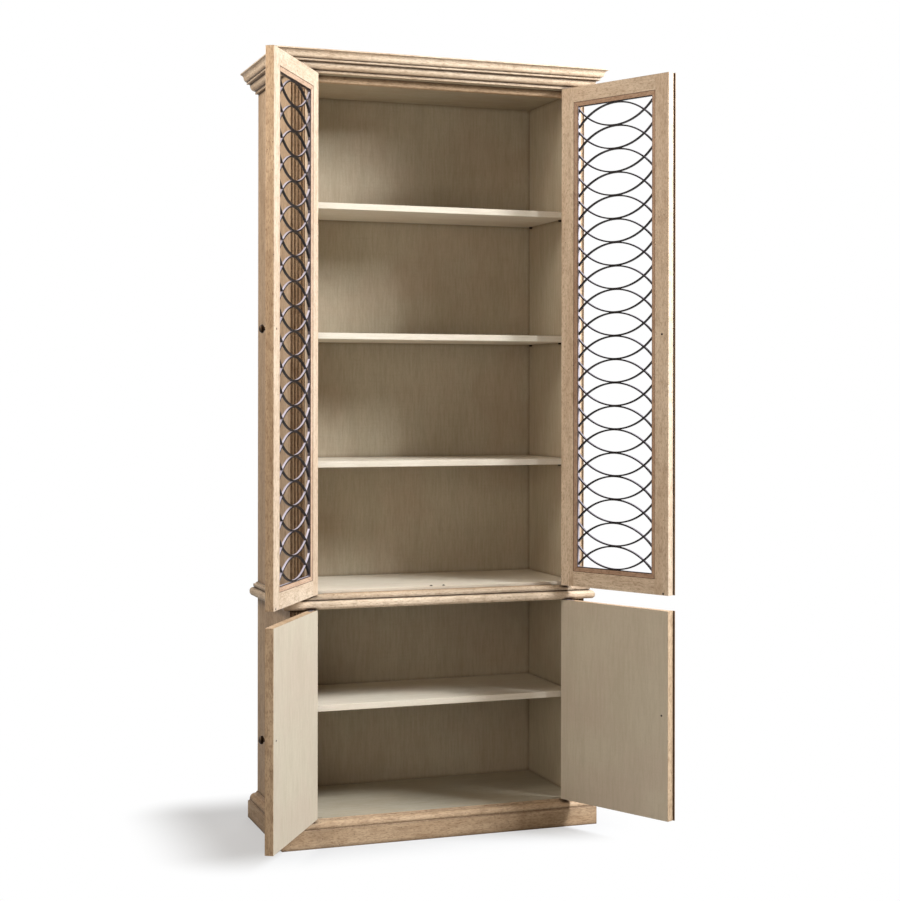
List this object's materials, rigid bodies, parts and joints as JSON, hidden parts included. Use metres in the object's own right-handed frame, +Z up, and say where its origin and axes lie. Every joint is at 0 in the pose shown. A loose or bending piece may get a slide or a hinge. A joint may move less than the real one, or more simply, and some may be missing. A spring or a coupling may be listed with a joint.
{
  "type": "display cabinet",
  "caption": "Tall two-part wooden display cabinet with crown, waist and plinth mouldings, fluted pilasters, interlaced-arc grille doors above and panel doors below.",
  "frame": {"origin": "floor level, at the middle of the underside of the front plinth board", "axes": "+Z up, +Y from the front of the cabinet to its back, +X to the right as one faces the front; the doors stand open as in the picture"},
  "size_m": [1.2457, 0.7941, 2.34],
  "materials": {
    "washed_wood": "light brown washed wood with open grain, small worm marks and a matt lacquer",
    "painted_wood": "cream-grey paint brushed over wood, matt",
    "dark_iron": "dark iron strip, satin",
    "aged_bronze": "dark aged bronze, satin"
  },
  "bodies": {
    "cabinet": {"crown_front": "washed_wood", "crown_left": "washed_wood", "crown_right": "washed_wood", "deck_catches": "aged_bronze", "fixed_hinge_leaves": "aged_bronze", "lower_back": "painted_wood", "lower_floor": "painted_wood", "lower_pilaster_left": "washed_wood", "lower_pilaster_right": "washed_wood", "lower_shelf": "painted_wood", "lower_side_left": "washed_wood", "lower_side_right": "washed_wood", "lower_top": "painted_wood", "plinth_cap_front": "washed_wood", "plinth_cap_left": "washed_wood", "plinth_cap_right": "washed_wood", "plinth_front": "washed_wood", "plinth_left": "washed_wood", "plinth_right": "washed_wood", "shelf_pins": "aged_bronze", "stop_rail": "washed_wood", "upper_back": "painted_wood", "upper_deck": "painted_wood", "upper_front_rail": "washed_wood", "upper_pilaster_left": "washed_wood", "upper_pilaster_right": "washed_wood", "upper_shelf_1": "painted_wood", "upper_shelf_2": "painted_wood", "upper_shelf_3": "painted_wood", "upper_side_left": "washed_wood", "upper_side_right": "washed_wood", "upper_top": "painted_wood", "waist_front": "washed_wood", "waist_left": "washed_wood", "waist_right": "washed_wood"},
    "upper_right_door": {"upper_right_bottom_rail": "washed_wood", "upper_right_free_stile": "washed_wood", "upper_right_grille": "dark_iron", "upper_right_hinge_leaves": "aged_bronze", "upper_right_hinge_stile": "washed_wood", "upper_right_knob": "aged_bronze", "upper_right_lip": "washed_wood", "upper_right_top_rail": "washed_wood"},
    "upper_left_door": {"upper_left_bottom_rail": "washed_wood", "upper_left_free_stile": "washed_wood", "upper_left_grille": "dark_iron", "upper_left_hinge_leaves": "aged_bronze", "upper_left_hinge_stile": "washed_wood", "upper_left_knob": "aged_bronze", "upper_left_top_rail": "washed_wood"},
    "lower_right_door": {"lower_right_hinge_leaves": "aged_bronze", "lower_right_knob": "aged_bronze", "lower_right_lip": "washed_wood", "lower_right_slab": "washed_wood"},
    "lower_left_door": {"lower_left_hinge_leaves": "aged_bronze", "lower_left_knob": "aged_bronze", "lower_left_slab": "washed_wood"}
  },
  "joints": [
    {"name": "upper_right_hinge", "type": "hinge", "parent": "cabinet", "child": "upper_right_door", "pos_m": [0.4119, 0.0142, 1.5], "axis": [0, 0, 1], "range_deg": [-116, 64]},
    {"name": "upper_left_hinge", "type": "hinge", "parent": "cabinet", "child": "upper_left_door", "pos_m": [-0.4119, 0.0142, 1.5], "axis": [0, 0, -1], "range_deg": [-122, 58]},
    {"name": "lower_right_hinge", "type": "hinge", "parent": "cabinet", "child": "lower_right_door", "pos_m": [0.4119, 0.0142, 0.39], "axis": [0, 0, 1], "range_deg": [-116, 64]},
    {"name": "lower_left_hinge", "type": "hinge", "parent": "cabinet", "child": "lower_left_door", "pos_m": [-0.4119, 0.0142, 0.39], "axis": [0, 0, -1], "range_deg": [-122, 58]}
  ]
}
